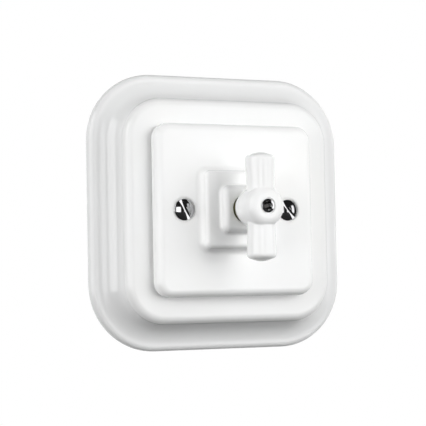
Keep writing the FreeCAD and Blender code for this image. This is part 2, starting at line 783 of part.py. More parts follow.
def front_housing():
    """Moulded housing behind the strap, with the chamber of the index cam."""
    body = new_body("front_housing")
    shape = new_sketch(body, "HousingOutline", "XZ_Plane", height=-s.housing_depth)
    body_outline(shape)
    for side in (-1, 1):
        circle(shape, s.assembly_screw_diameter / 2 + s.hole_gap, y=assembly_screw_z * side)
    pad(body, "Housing", shape, s.housing_depth)
    recess = s.bush_flange_thickness + s.fit_gap
    recess_radius = s.bush_flange_diameter / 2 + s.fit_gap
    bore(body, "BushRecess", [(0, 0), (recess_radius, 0), (recess_radius, recess), (0, recess)])
    chamber = new_sketch(body, "ChamberOutline", "XZ_Plane", height=-s.housing_depth)
    rectangle(chamber, s.chamber_length / 2, s.chamber_height / 2, s.chamber_corner)
    pocket(body, "Chamber", chamber, s.housing_depth - recess - s.housing_web, backwards=True)
    hole = new_sketch(body, "SpindleHoleOutline", "XZ_Plane")
    circle(hole, spindle_radius + s.hole_gap)
    pocket(body, "SpindleHole", hole, s.housing_depth)


def contact_base():
    """Fired ceramic base: rotor chamber in front, four terminal pockets from behind."""
    body = new_body("contact_base")
    shape = new_sketch(body, "BaseOutline", "XZ_Plane", height=-base_rear)
    body_outline(shape)
    circle(shape, s.journal_diameter / 2 + s.running_gap)
    for side in (-1, 1):
        circle(shape, s.assembly_screw_diameter / 2 + s.hole_gap, y=assembly_screw_z * side)
    pad(body, "Base", shape, s.base_depth)
    chamber = new_sketch(body, "RotorChamberOutline", "XZ_Plane", height=-s.housing_depth)
    circle(chamber, s.rotor_chamber_diameter / 2)
    pocket(body, "RotorChamber", chamber, s.rotor_chamber_depth)
    heads = new_sketch(body, "ScrewHeadOutlines", "XZ_Plane", height=-base_rear)
    for side in (-1, 1):
        circle(heads, s.assembly_screw_head / 2 + s.hole_gap, y=assembly_screw_z * side)
    pocket(body, "ScrewHeads", heads, s.assembly_screw_head_height + s.hole_gap, backwards=True)
    slot = new_sketch(
        body, "ContactSlotOutline", "XZ_Plane", height=-s.housing_depth, turn=s.terminal_angle)
    rectangle(slot, (clamp_outer - contact_tip) / 2 + s.hole_gap, s.contact_width / 2 + s.fit_gap * 2,
              x=(clamp_outer + contact_tip) / 2)
    slot_cut = pocket(body, "ContactSlot", slot, contact_rear + s.fit_gap - s.housing_depth)
    well = new_sketch(body, "TerminalWellOutline", "XZ_Plane", height=-base_rear, turn=s.terminal_angle)
    rectangle(well, s.clamp_radial / 2 + s.fit_gap * 2, s.clamp_width / 2 + s.fit_gap * 2,
              x=clamp_outer - s.clamp_radial / 2)
    well_cut = pocket(body, "TerminalWell", well, base_rear - contact_rear - s.fit_gap, backwards=True)
    access = new_sketch(body, "AccessOutline", "XZ_Plane", height=-base_rear, turn=s.terminal_angle)
    access_half = s.terminal_screw_head / 2 + s.hole_gap
    rectangle(access, s.terminal_inset / 2, access_half, x=clamp_outer + s.terminal_inset / 2)
    access_depth = base_rear - terminal_screw_depth + access_half
    access_cut = pocket(body, "Access", access, access_depth, backwards=True)
    ring = body.newObject("PartDesign::PolarPattern", "TerminalRing")
    ring.Originals = [slot_cut, well_cut, access_cut]
    ring.Axis = (origin_feature(body, "Y_Axis"), [""])
    ring.Angle = FULL_TURN
    ring.Occurrences = TERMINAL_COUNT
    body.Tip = ring
    finish_feature(ring)


def index_cam():
    body = new_body("index_cam")
    shape = new_sketch(body, "CamOutline", "XZ_Plane", height=-cam_rear)
    half = s.cam_side / 2
    square = s.spindle_flats / 2 + s.fit_gap
    rectangle(shape, half, half, s.cam_corner)
    rectangle(shape, square, square)
    pad(body, "Cam", shape, s.cam_thickness)


def detent_springs():
    """Two bowed leaf springs that press on the flats of the cam."""
    flat = s.spring_flat / 2
    low = s.cam_side / 2 + s.fit_gap
    high = s.chamber_height / 2 - s.fit_gap - s.spring_thickness
    tip = s.chamber_length / 2 - s.hole_gap * 2
    back = cam_depth + (s.cam_thickness - s.spring_width) / 2 + s.spring_width
    for label, turn in (("detent_spring_upper", 0), ("detent_spring_lower", 180)):
        body = new_body(label)
        shape = new_sketch(body, "LeafOutline", "XZ_Plane", height=-back)
        outline(shape, [
            (-tip, high), (-flat, low), (flat, low), (tip, high),
            (tip, high + s.spring_thickness), (flat, low + s.spring_thickness),
            (-flat, low + s.spring_thickness), (-tip, high + s.spring_thickness)])
        pad(body, "Leaf", shape, s.spring_width)
        place(body, turn=turn)


def rotor():
    """Moulded rotor on the spindle's square, with pegs that drive the contact bridge."""
    body = new_body("rotor")
    hub = s.rotor_hub_diameter / 2
    lathe(body, "Rotor", [
        (0, cam_rear + s.fit_gap), (0, spindle_square_end), (hub, spindle_square_end), (hub, bridge_depth),
        (s.rotor_diameter / 2, bridge_depth), (s.rotor_diameter / 2, rotor_depth), (hub, rotor_depth),
        (hub, cam_rear + s.fit_gap)])
    pegs = new_sketch(body, "PegOutlines", "XZ_Plane", height=-(bridge_rear + s.bridge_peg_proud),
                      turn=s.terminal_angle)
    for side in (-1, 1):
        circle(pegs, s.bridge_peg_diameter / 2, x=s.bridge_peg_spacing / 2 * side)
    pad(body, "Pegs", pegs, s.bridge_thickness + s.bridge_peg_proud + s.fit_gap)
    square = s.spindle_flats / 2 + s.fit_gap
    drive = new_sketch(body, "DriveOutline", "XZ_Plane", height=-spindle_square_end)
    rectangle(drive, square, square)
    pocket(body, "Drive", drive, spindle_square_end - cam_rear, backwards=True)


def contact_bridge():
    """Stamped bridge with a round hub, two arms and the holes of the rotor's pegs."""
    body = new_body("contact_bridge")
    arms = new_sketch(body, "ArmOutline", "XZ_Plane", height=-bridge_rear, turn=s.terminal_angle)
    radius = s.bridge_span / 2
    half = s.bridge_width / 2
    end = leg(radius, half)
    outline(arms, [(end, -half, radius), (end, half), (-end, half, radius), (-end, -half)])
    pad(body, "Arms", arms, s.bridge_thickness)
    hub = new_sketch(body, "HubOutline", "XZ_Plane", height=-bridge_rear)
    circle(hub, s.bridge_hub_diameter / 2)
    pad(body, "Hub", hub, s.bridge_thickness)
    holes = new_sketch(body, "HoleOutlines", "XZ_Plane", height=-bridge_depth, turn=s.terminal_angle)
    circle(holes, s.rotor_hub_diameter / 2 + s.fit_gap)
    for side in (-1, 1):
        circle(holes, s.bridge_peg_diameter / 2 + s.fit_gap, x=s.bridge_peg_spacing / 2 * side)
    pocket(body, "Holes", holes, s.bridge_thickness)


def terminals():
    """Four fixed contacts with their clamps and clamp screws, a quarter turn apart."""
    half_contact = s.contact_width / 2
    half_clamp = s.clamp_width / 2
    middle = clamp_outer - s.clamp_radial / 2
    for number in range(TERMINAL_COUNT):
        turn = s.terminal_angle + FULL_TURN / TERMINAL_COUNT * number
        contact = new_body(f"fixed_contact_{number + 1}")
        shape = new_sketch(contact, "ContactOutline", "XZ_Plane", height=-contact_rear)
        tip = leg(contact_tip, half_contact)
        outline(shape, [
            (tip, half_contact, -contact_tip), (tip, -half_contact),
            (clamp_outer, -half_contact), (clamp_outer, half_contact)])
        pad(contact, "Contact", shape, s.contact_thickness)
        place(contact, turn=-turn)
        clamp = new_body(f"terminal_clamp_{number + 1}")
        block = new_sketch(clamp, "ClampOutline", "XZ_Plane", height=-clamp_rear)
        rectangle(block, s.clamp_radial / 2, half_clamp, s.clamp_corner, x=middle)
        circle(block, s.wire_hole_diameter / 2, x=wire_hole_radius)
        pad(clamp, "Clamp", block, s.clamp_depth)
        tapped = new_sketch(clamp, "TappedHoleOutline", "YZ_Plane", height=clamp_outer)
        circle(tapped, s.terminal_screw_diameter / 2 + s.fit_gap, x=terminal_screw_depth)
        pocket(clamp, "TappedHole", tapped, clamp_outer - wire_hole_radius)
        place(clamp, turn=-turn)
        terminal_screw(f"terminal_screw_{number + 1}", turn, clamp_outer)


def terminal_screw(label, turn, seat):
    """A cheese head screw that points at the axis and clamps the wire."""
    body = new_body(label)
    head_radius = s.terminal_screw_head / 2
    shank_radius = s.terminal_screw_diameter / 2
    head_end = seat + s.terminal_screw_head_height + s.fit_gap
    section = new_sketch(body, "ScrewSection", "XY_Plane")
    mid = terminal_screw_depth
    outline(section, [
        (seat + s.fit_gap - s.terminal_screw_reach, mid), (head_end, mid), (head_end, mid + head_radius),
        (seat + s.fit_gap, mid + head_radius), (seat + s.fit_gap, mid + shank_radius),
        (seat + s.fit_gap - s.terminal_screw_reach, mid + shank_radius)])
    feature = body.newObject("PartDesign::Revolution", "Screw")
    axis = section.addGeometry(Part.LineSegment(
        Vector(0, mid.value, 0), Vector(seat.value, mid.value, 0)), True)
    section.addConstraint(Sketcher.Constraint("Horizontal", axis))
    tie_point(section, axis, 1, 0, mid)
    tie(section, "DistanceX", axis, 1, axis, 2, size=seat)
    feature.Profile = section
    feature.ReferenceAxis = (section, ["Axis0"])
    feature.Angle = FULL_TURN
    finish_feature(feature)
    cut = new_sketch(body, "SlotOutline", "YZ_Plane", height=head_end)
    rectangle(cut, s.terminal_screw_head, s.terminal_screw_head * s.slot_fraction / 2, x=mid)
    pocket(body, "Slot", cut, s.terminal_screw_head_height / 2)
    place(body, turn=-turn)


def assembly_screws():
    """Two long screws from behind that hold base and housing to the strap."""
    seat = base_rear - s.assembly_screw_head_height
    for label, side in (("assembly_screw_upper", 1), ("assembly_screw_lower", -1)):
        body = slotted_screw(label, s.assembly_screw_head, s.assembly_screw_head_height,
                             s.assembly_screw_diameter, seat + s.strap_thickness)
        place(body, y=seat - s.hole_gap, z=assembly_screw_z * side, turn=180, about=Vector(0, 0, 1))


def spindle_clip():
    """Open spring clip in the groove behind the base."""
    body = new_body("spindle_clip")
    shape = new_sketch(body, "ClipOutline", "XZ_Plane", height=-(clip_depth + s.clip_thickness - s.fit_gap))
    circle(shape, s.clip_diameter / 2)
    circle(shape, s.clip_groove_diameter / 2 + s.fit_gap)
    pad(body, "Clip", shape, s.clip_thickness - s.fit_gap * 2)
    mouth = new_sketch(body, "MouthOutline", "XZ_Plane", height=-clip_depth)
    rectangle(mouth, s.clip_groove_diameter / 2 - s.hole_gap, s.clip_diameter / 4, y=-s.clip_diameter / 2)
    pocket(body, "Mouth", mouth, s.clip_thickness)


def claws():
    """Bent steel claws with a toothed foot; each is pulled by a screw and a square nut."""
    inner = body_flat + s.claw_gap
    knuckle = s.hole_gap + s.claw_knuckle_radius - leg(s.claw_knuckle_radius, s.claw_thickness / 2)
    foot_front = s.claw_length - s.claw_thickness
    for label, turn in (("claw_right", 0), ("claw_left", 180)):
        body = new_body(label)
        shape = new_sketch(body, "ClawSection", "XY_Plane")
        outline(shape, [
            (inner, knuckle, s.claw_knuckle_radius), (inner + s.claw_thickness, knuckle),
            (inner + s.claw_thickness, foot_front), (claw_reach, foot_front), (claw_reach, s.claw_length),
            (inner, s.claw_length)])
        pad(body, "Claw", shape, s.claw_width, both_ways=True)
        window = new_sketch(body, "WindowOutline", "XY_Plane")
        window_end = claw_screw_x + s.claw_screw_diameter / 2 + s.hole_gap
        window_depth = s.claw_length - s.claw_window_start
        rectangle(window, (window_end - inner) / 2 + s.claw_gap, window_depth / 2 + s.claw_gap,
                  x=(window_end + inner) / 2 - s.claw_gap, y=s.claw_length - window_depth / 2 + s.claw_gap)
        pocket(body, "Window", window, s.claw_window, both_ways=True)
        tooth = new_sketch(body, "ToothGapOutline", "XZ_Plane", height=-foot_front)
        row_length = s.claw_tooth_pitch * (CLAW_TEETH - 1)
        low = -row_length / 2
        outline(tooth, [
            (claw_reach - s.claw_tooth_depth, low), (claw_reach + s.hole_gap, low - s.claw_tooth_pitch / 2),
            (claw_reach + s.hole_gap, low + s.claw_tooth_pitch / 2)])
        gap = pocket(body, "ToothGap", tooth, s.claw_thickness)
        row = body.newObject("PartDesign::LinearPattern", "ToothGaps")
        row.Originals = [gap]
        row.Direction = (origin_feature(body, "Z_Axis"), [""])
        bind(row, "Length", row_length)
        row.Occurrences = CLAW_TEETH
        body.Tip = row
        finish_feature(row)
        place(body, turn=turn)
    for word, side in (("right", 1), ("left", -1)):
        screw = slotted_screw(f"claw_screw_{word}", s.claw_screw_head, s.assembly_screw_head_height,
                              s.claw_screw_diameter, s.claw_screw_length)
        place(screw, x=claw_screw_x * side, y=-strap_front)
        nut = new_body(f"claw_nut_{word}")
        nut_front = s.claw_length + s.hole_gap
        square = new_sketch(nut, "NutOutline", "XZ_Plane", height=-(nut_front + s.claw_nut_thickness))
        rectangle(square, s.claw_nut_side / 2, s.claw_nut_side / 2)
        circle(square, s.claw_screw_diameter / 2 + s.fit_gap)
        pad(nut, "Nut", square, s.claw_nut_thickness)
        place(nut, x=claw_screw_x * side)


surround_frame()
cover_plate()
knob()
knob_screw()
cover_screws()
spindle_bush()
bush_nut()
spindle()
support_strap()
cover_pillars()
front_housing()
contact_base()
index_cam()
detent_springs()
rotor()
contact_bridge()
terminals()
assembly_screws()
spindle_clip()
claws()

doc.recompute()
os.makedirs("parts", exist_ok=True)
failed = [thing.Label for thing in doc.Objects if any(word in thing.State for word in ("Invalid", "Error"))]
pieces = [thing for thing in doc.Objects if thing.TypeId == "PartDesign::Body"]
failed += [piece.Label for piece in pieces if piece.Shape.isNull() or not piece.Shape.isValid()]
if failed:
    raise RuntimeError(f"failed: {failed}")
for piece in pieces:
    piece.Shape.exportStep(f"parts/{piece.Label}.step")
print(len(pieces), "pieces written")
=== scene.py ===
import bpy
import bmesh
import math
from mathutils import Matrix, Vector
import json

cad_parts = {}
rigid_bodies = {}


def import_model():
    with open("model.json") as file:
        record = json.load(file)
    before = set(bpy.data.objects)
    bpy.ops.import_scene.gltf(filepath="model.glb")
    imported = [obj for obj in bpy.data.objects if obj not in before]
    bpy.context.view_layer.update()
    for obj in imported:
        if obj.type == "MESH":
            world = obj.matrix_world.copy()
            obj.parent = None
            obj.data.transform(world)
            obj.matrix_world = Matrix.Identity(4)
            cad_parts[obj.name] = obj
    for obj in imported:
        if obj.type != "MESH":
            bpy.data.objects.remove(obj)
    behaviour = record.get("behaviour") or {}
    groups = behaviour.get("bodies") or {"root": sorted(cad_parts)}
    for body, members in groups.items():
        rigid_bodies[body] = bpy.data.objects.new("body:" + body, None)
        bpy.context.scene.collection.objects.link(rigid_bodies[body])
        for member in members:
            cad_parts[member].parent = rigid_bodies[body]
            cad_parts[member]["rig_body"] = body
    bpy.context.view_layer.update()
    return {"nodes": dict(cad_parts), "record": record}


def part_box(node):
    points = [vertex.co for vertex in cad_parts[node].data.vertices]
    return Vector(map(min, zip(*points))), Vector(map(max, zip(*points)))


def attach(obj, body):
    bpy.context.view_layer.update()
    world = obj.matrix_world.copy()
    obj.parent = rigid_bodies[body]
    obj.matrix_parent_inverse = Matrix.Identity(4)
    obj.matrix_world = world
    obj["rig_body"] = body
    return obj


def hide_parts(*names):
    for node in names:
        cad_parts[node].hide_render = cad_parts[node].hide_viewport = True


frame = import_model()
nodes = frame["nodes"]
mm = 0.001
quarter = math.pi / 2
print("frame loaded:", len(nodes), "nodes")


# Shader helpers: every material starts from a Principled shader that reads Object coordinates, in metres

def newMaterial(name, colour, rough, metal=0.0):
    mat = bpy.data.materials.new(name)
    mat.use_nodes = True
    tree = mat.node_tree
    shader = tree.nodes["Principled BSDF"]
    shader.inputs["Base Color"].default_value = (*colour, 1)
    shader.inputs["Roughness"].default_value = rough
    shader.inputs["Metallic"].default_value = metal
    place = tree.nodes.new("ShaderNodeTexCoord")
    return mat, tree, shader, place.outputs["Object"]


def noiseNode(tree, coords, scale, detail, rough=0.5):
    node = tree.nodes.new("ShaderNodeTexNoise")
    node.inputs["Scale"].default_value = scale
    node.inputs["Detail"].default_value = detail
    node.inputs["Roughness"].default_value = rough
    tree.links.new(coords, node.inputs["Vector"])
    return node.outputs["Fac"]


def rangeNode(tree, value, fromLow, fromHigh, toLow=0.0, toHigh=1.0):
    node = tree.nodes.new("ShaderNodeMapRange")
    for socket, number in zip(node.inputs[1:5], (fromLow, fromHigh, toLow, toHigh)):
        socket.default_value = number
    tree.links.new(value, node.inputs["Value"])
    return node.outputs["Result"]


def mixColour(tree, factor, low, high):
    node = tree.nodes.new("ShaderNodeMix")
    node.data_type = "RGBA"
    for socket, colour in ((node.inputs["A"], low), (node.inputs["B"], high)):
        if isinstance(colour, tuple):
            socket.default_value = (*colour, 1)
        else:
            tree.links.new(colour, socket)
    tree.links.new(factor, node.inputs["Factor"])
    return node.outputs["Result"]


def mathNode(tree, operation, *values):
    node = tree.nodes.new("ShaderNodeMath")
    node.operation = operation
    for socket, value in zip(node.inputs, values):
        if isinstance(value, (int, float)):
            socket.default_value = value
        else:
            tree.links.new(value, socket)
    return node.outputs[0]


def addBump(tree, shader, height, strength, distance):
    bump = tree.nodes.new("ShaderNodeBump")
    bump.inputs["Strength"].default_value = strength
    bump.inputs["Distance"].default_value = distance
    tree.links.new(height, bump.inputs["Height"])
    tree.links.new(bump.outputs["Normal"], shader.inputs["Normal"])


# Porcelain: cool white glaze, a little uneven and gently rippled

glazeLook = {
    "white": (0.922, 0.927, 0.926),
    "warmer": (0.914, 0.916, 0.906),
    "cloudScale": 35.0,
    "cloudDetail": 2.0,
    "cloudRange": (0.35, 0.70),
    "gloss": 0.36,
    "rough": 0.10,
    "rippleScale": 55.0,
    "rippleDetail": 1.0,
    "rippleStrength": 0.35,
    "rippleDepth": 0.00006,
}
surroundLook = {
    "shade": 0.945,
    # the rim's colour below rimTop is darkened: painted shade for the shade behind the ring's wall
    "rimPaintedShade": 0.868,
    "rimTop": 0.0105,
    "rimFade": 0.0015,
    "bareBody": (0.80, 0.78, 0.73),
    "bareRough": 0.60,
    "bareFade": (-0.00030, -0.00015),
}


def shaded(colour, shade):
    return tuple(channel * shade for channel in colour)


def makeGlaze(name, surround=None):
    mat, tree, shader, coords = newMaterial(name, glazeLook["white"], glazeLook["rough"])
    cloud = noiseNode(tree, coords, glazeLook["cloudScale"], glazeLook["cloudDetail"])
    tint = rangeNode(tree, cloud, *glazeLook["cloudRange"])
    shade = surround["shade"] if surround else 1.0
    colour = mixColour(tree, tint, shaded(glazeLook["white"], shade), shaded(glazeLook["warmer"], shade))
    if surround:
        # painted shade: the rim, set low behind the ring's tall wall, is coloured greyer to stand in for
        # the shade that falls there; the foot that stood in the kiln is bare
        split = tree.nodes.new("ShaderNodeSeparateXYZ")
        tree.links.new(coords, split.inputs["Vector"])
        rimFront = -surround["rimTop"]
        low = rangeNode(tree, split.outputs["Y"], rimFront - surround["rimFade"], rimFront)
        colour = mixColour(tree, low, colour, shaded(glazeLook["white"], surround["rimPaintedShade"]))
        bare = rangeNode(tree, split.outputs["Y"], *surround["bareFade"])
        colour = mixColour(tree, bare, colour, surround["bareBody"])
        rough = rangeNode(tree, bare, 0.0, 1.0, glazeLook["rough"], surround["bareRough"])
        tree.links.new(rough, shader.inputs["Roughness"])
    tree.links.new(colour, shader.inputs["Base Color"])
    shader.inputs["Specular IOR Level"].default_value = glazeLook["gloss"]
    ripple = noiseNode(tree, coords, glazeLook["rippleScale"], glazeLook["rippleDetail"])
    addBump(tree, shader, ripple, glazeLook["rippleStrength"], glazeLook["rippleDepth"])
    return mat


# Metals: polished chrome on the visible screws, turned brass, zinc plate, blued springs

metalLooks = {
    "bright_chrome": {"colour": (0.42, 0.42, 0.43), "other": (0.36, 0.36, 0.37), "rough": (0.05, 0.09),
                      "grain": (900, 900, 900), "scratch": 0.000002},
    "brass": {"colour": (0.60, 0.47, 0.24), "other": (0.44, 0.34, 0.17), "rough": (0.20, 0.36),
              "grain": (300, 2400, 300), "scratch": 0.000008},
    "darkBrass": {"colour": (0.30, 0.29, 0.17), "other": (0.22, 0.21, 0.12), "rough": (0.34, 0.50),
                  "grain": (300, 2400, 300), "scratch": 0.000008},
    "plated_steel": {"colour": (0.58, 0.60, 0.62), "other": (0.51, 0.53, 0.54), "rough": (0.26, 0.46),
                     "grain": (260, 900, 120), "scratch": 0.000008},
    "spring_steel": {"colour": (0.16, 0.18, 0.24), "other": (0.28, 0.26, 0.27), "rough": (0.24, 0.40),
                     "grain": (220, 900, 900), "scratch": 0.000005},
}
metalGrain = {"detail": 4.0, "rough": 0.6, "range": (0.3, 0.7), "bump": 0.3}
metalStain = {"scale": 110.0, "detail": 3.0, "range": (0.42, 0.68)}
# painted shade: near-black colour within this radius of the knob screw's axis, for the shade in its
# cross recess
knobRecessShade = {"radius": 0.00135, "fade": 1.08, "colour": (0.035, 0.034, 0.033)}


def makeMetal(name, title=None, recess=None):
    look = metalLooks[name]
    mat, tree, shader, coords = newMaterial(title or name, look["colour"], look["rough"][0], 1.0)
    stretch = tree.nodes.new("ShaderNodeMapping")
    stretch.inputs["Scale"].default_value = look["grain"]
    tree.links.new(coords, stretch.inputs["Vector"])
    grain = noiseNode(tree, stretch.outputs["Vector"], 1.0, metalGrain["detail"], metalGrain["rough"])
    stain = noiseNode(tree, coords, metalStain["scale"], metalStain["detail"])
    tint = rangeNode(tree, stain, *metalStain["range"])
    colour = mixColour(tree, tint, look["colour"], look["other"])
    if recess:
        # painted shade: a recess on the knob's axis is coloured near-black, standing in for the shade
        # inside it
        flat = tree.nodes.new("ShaderNodeVectorMath")
        flat.operation = "MULTIPLY"
        flat.inputs[1].default_value = (1, 0, 1)
        tree.links.new(coords, flat.inputs[0])
        reach = tree.nodes.new("ShaderNodeVectorMath")
        reach.operation = "LENGTH"
        tree.links.new(flat.outputs[0], reach.inputs[0])
        rim = recess["radius"]
        inside = rangeNode(tree, reach.outputs["Value"], rim * recess["fade"], rim)
        colour = mixColour(tree, inside, colour, recess["colour"])
    tree.links.new(colour, shader.inputs["Base Color"])
    rough = rangeNode(tree, grain, *metalGrain["range"], *look["rough"])
    tree.links.new(rough, shader.inputs["Roughness"])
    addBump(tree, shader, grain, metalGrain["bump"], look["scratch"])
    return mat


# Moulded and fired bodies: satin black thermoset, ivory thermoset, unglazed steatite

bodyLooks = {
    "moulded_black": {"colour": (0.020, 0.019, 0.018), "other": (0.032, 0.029, 0.026),
                      "rough": (0.30, 0.46), "speck": 1500, "depth": 0.000010},
    "moulded_ivory": {"colour": (0.70, 0.62, 0.46), "other": (0.62, 0.54, 0.39),
                      "rough": (0.34, 0.50), "speck": 1300, "depth": 0.000008},
    "steatite": {"colour": (0.72, 0.68, 0.59), "other": (0.64, 0.59, 0.50),
                 "rough": (0.62, 0.82), "speck": 1900, "depth": 0.000022},
}
bodyCloud = {"scale": 70.0, "detail": 4.0, "rough": 0.6, "range": (0.38, 0.66)}
bodySpeck = {"detail": 2.0, "range": (0.3, 0.7), "bump": 0.4}


def makeBody(name):
    look = bodyLooks[name]
    mat, tree, shader, coords = newMaterial(name, look["colour"], look["rough"][0])
    cloud = noiseNode(tree, coords, bodyCloud["scale"], bodyCloud["detail"], bodyCloud["rough"])
    speck = noiseNode(tree, coords, look["speck"], bodySpeck["detail"])
    tint = rangeNode(tree, cloud, *bodyCloud["range"])
    tree.links.new(mixColour(tree, tint, look["colour"], look["other"]), shader.inputs["Base Color"])
    rough = rangeNode(tree, speck, *bodySpeck["range"], *look["rough"])
    tree.links.new(rough, shader.inputs["Roughness"])
    addBump(tree, shader, speck, bodySpeck["bump"], look["depth"])
    return mat


glaze = makeGlaze("glaze")
surroundGlaze = makeGlaze("surroundGlaze", surroundLook)
finishes = {name: makeMetal(name) for name in metalLooks}
finishes.update({name: makeBody(name) for name in bodyLooks})
finishes["porcelain"] = glaze
shadedRecessChrome = makeMetal("bright_chrome", "shadedRecessChrome", knobRecessShade)


def paintNodes():
    for node in nodes.values():
        slot = node.data.materials[0].name.split(".")[0]
        node.data.materials.clear()
        node.data.materials.append(finishes[slot])


paintNodes()
print("materials made")


# Modelling tools: a pen that draws a section with extrude and spin, and sweeps of that section.
# Places are (u, p) in millimetres: u runs outwards on the left side, p is the height over the wall.

pen = {"at": Vector(), "hold": 0.35}  # hold is how near its ends a long line gets extra points
weldGap = 0.001 * mm
seamGap = 0.002 * mm
levelGap = 0.01 * mm
cutPast = 1.0
cutterHeight = 4.0


def toPlace(u, p):
    return Vector((-u, -p, 0)) * mm


def pick(piece):
    bpy.ops.object.select_all(action="DESELECT")
    piece.select_set(True)
    bpy.context.view_layer.objects.active = piece


def newPiece(name):
    bpy.ops.object.select_all(action="DESELECT")
    bpy.ops.mesh.primitive_plane_add(size=mm)
    piece = bpy.context.active_object
    piece.name = piece.data.name = name
    bpy.ops.object.mode_set(mode="EDIT")
    bpy.ops.mesh.delete(type="VERT")
    return piece


def penDown(u, p):
    bpy.ops.mesh.select_all(action="DESELECT")
    bpy.ops.mesh.primitive_plane_add(size=mm)
    bpy.ops.mesh.merge(type="CENTER")
    bpy.ops.transform.translate(value=toPlace(u, p))
    pen["at"] = Vector((u, p))


def penLine(u, p, plain=False):
    start, end = pen["at"], Vector((u, p))
    run = (end - start).length
    stops = [1.0]
    if not plain and run >= pen["hold"] * 3:
        stops = [pen["hold"] / run, 1 - pen["hold"] / run, 1.0]
    last = 0.0
    for stop in stops:
        step = (end - start) * (stop - last) * mm
        move = (-step.x, -step.y, 0.0)
        bpy.ops.mesh.extrude_vertices_move(TRANSFORM_OT_translate={"value": move})
        last = stop
    pen["at"] = end


def penArc(u, p, turn, steps):
    angle = math.radians(turn)  # counted anticlockwise; spin itself turns the other way
    bpy.ops.mesh.spin(steps=steps, angle=-angle, center=toPlace(u, p), axis=(0, 0, 1))
    pen["at"] = Vector((u, p)) + Matrix.Rotation(angle, 2) @ (pen["at"] - Vector((u, p)))


def markLoose(piece):
    # the section just drawn is the only geometry without faces
    mesh = bmesh.from_edit_mesh(piece.data)
    for vert in mesh.verts:
        vert.select = not vert.link_faces
    mesh.select_flush(True)
    bmesh.update_edit_mesh(piece.data)


def sweepSquare(piece, centre, steps):
    # carries the section round a rounded square whose corners turn about (centre, centre)
    markLoose(piece)
    bpy.ops.mesh.remove_doubles(threshold=weldGap)
    markLoose(piece)
    bpy.ops.transform.translate(value=(0, 0, -centre * mm))
    run = 2 * centre * mm
    for way, corner in (((0, 0, 1), (-1, 1)), ((1, 0, 0), (1, 1)),
                        ((0, 0, -1), (1, -1)), ((-1, 0, 0), (-1, -1))):
        bpy.ops.mesh.extrude_region_move(TRANSFORM_OT_translate={"value": Vector(way) * run})
        bpy.ops.mesh.spin(steps=steps, angle=-quarter, axis=(0, 1, 0),
                          center=(corner[0] * centre * mm, 0, corner[1] * centre * mm))
    bpy.ops.mesh.select_all(action="SELECT")
    bpy.ops.mesh.remove_doubles(threshold=seamGap)


def sweepRound(piece, steps):
    # turns the section about the Y axis
    markLoose(piece)
    bpy.ops.mesh.spin(steps=steps, angle=2 * math.pi, center=(0, 0, 0), axis=(0, 1, 0))
    bpy.ops.mesh.select_all(action="SELECT")
    bpy.ops.mesh.remove_doubles(threshold=seamGap)


def markOpen(piece, p):
    # selects the open edges that lie at one height over the wall
    mesh = bmesh.from_edit_mesh(piece.data)
    bpy.ops.mesh.select_all(action="DESELECT")
    for edge in mesh.edges:
        if edge.is_boundary and all(abs(vert.co.y + p * mm) < levelGap for vert in edge.verts):
            edge.select = True
    bmesh.update_edit_mesh(piece.data)


def closeShell():
    bpy.ops.mesh.select_all(action="SELECT")
    bpy.ops.mesh.normals_make_consistent(inside=False)
    bpy.ops.object.mode_set(mode="OBJECT")


def turnTool(name, points, steps):
    # a plain turned body, used to cut or join
    tool = newPiece(name)
    penDown(*points[0])
    for point in points[1:]:
        penLine(*point, plain=True)
    sweepRound(tool, steps)
    closeShell()
    return tool


def applyModifier(piece, kind, **settings):
    pick(piece)
    modifier = piece.modifiers.new(kind.title(), kind)
    for key, value in settings.items():
        setattr(modifier, key, value)
    bpy.ops.object.modifier_apply(modifier=modifier.name)


def cutWith(piece, tool, way="DIFFERENCE"):
    applyModifier(piece, "BOOLEAN", operation=way, solver="EXACT", object=tool)
    bpy.data.objects.remove(tool)


def addCutter(size, place, turn=0, taper=1.0):
    # a box, turned about Y, whose end deep in the piece is narrowed by taper
    bpy.ops.object.select_all(action="DESELECT")
    bpy.ops.mesh.primitive_cube_add(size=mm)
    tool = bpy.context.active_object
    bpy.ops.object.mode_set(mode="EDIT")
    mesh = bmesh.from_edit_mesh(tool.data)
    for face in mesh.faces:
        face.select = face.normal.y > 0.5
    mesh.select_flush(True)
    bmesh.update_edit_mesh(tool.data)
    bpy.ops.transform.resize(value=(taper, 1, taper))
    bpy.ops.object.mode_set(mode="OBJECT")
    grow = Matrix.Diagonal((*size, 1))
    spun = Matrix.Rotation(math.radians(-turn), 4, "Y")
    tool.data.transform(Matrix.Translation(place) @ spun @ grow)
    return tool


def addSlot(piece, width, length, bottom, x, turn, taper=1.0):
    # a slot cut into a screw's head from the front, bottom being its floor's height over the wall
    place = Vector((x, -(bottom + cutterHeight / 2), 0)) * mm
    cutWith(piece, addCutter((width, cutterHeight, length), place, turn, taper))


def bevelEdges(piece, width, angle):
    applyModifier(piece, "BEVEL", width=width * mm, segments=2, limit_method="ANGLE",
                  angle_limit=math.radians(angle))


def smoothFinish(piece, sharpAngle=40):
    pick(piece)
    bpy.ops.object.mode_set(mode="EDIT")
    bpy.ops.mesh.select_all(action="SELECT")
    bpy.ops.mesh.remove_doubles(threshold=weldGap)
    bpy.ops.mesh.dissolve_degenerate(threshold=weldGap)
    bpy.ops.object.mode_set(mode="OBJECT")
    bpy.ops.object.shade_smooth_by_angle(angle=math.radians(sharpAngle))
    applyModifier(piece, "WEIGHTED_NORMAL", mode="FACE_AREA_WITH_ANGLE", weight=70, keep_sharp=True)


def dress(piece, mat, body, slot, *stoodFor):
    piece.data.materials.clear()
    piece.data.materials.append(mat)
    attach(piece, body)
    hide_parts(*stoodFor)


# The surround: one section swept round the rounded square, hollow behind

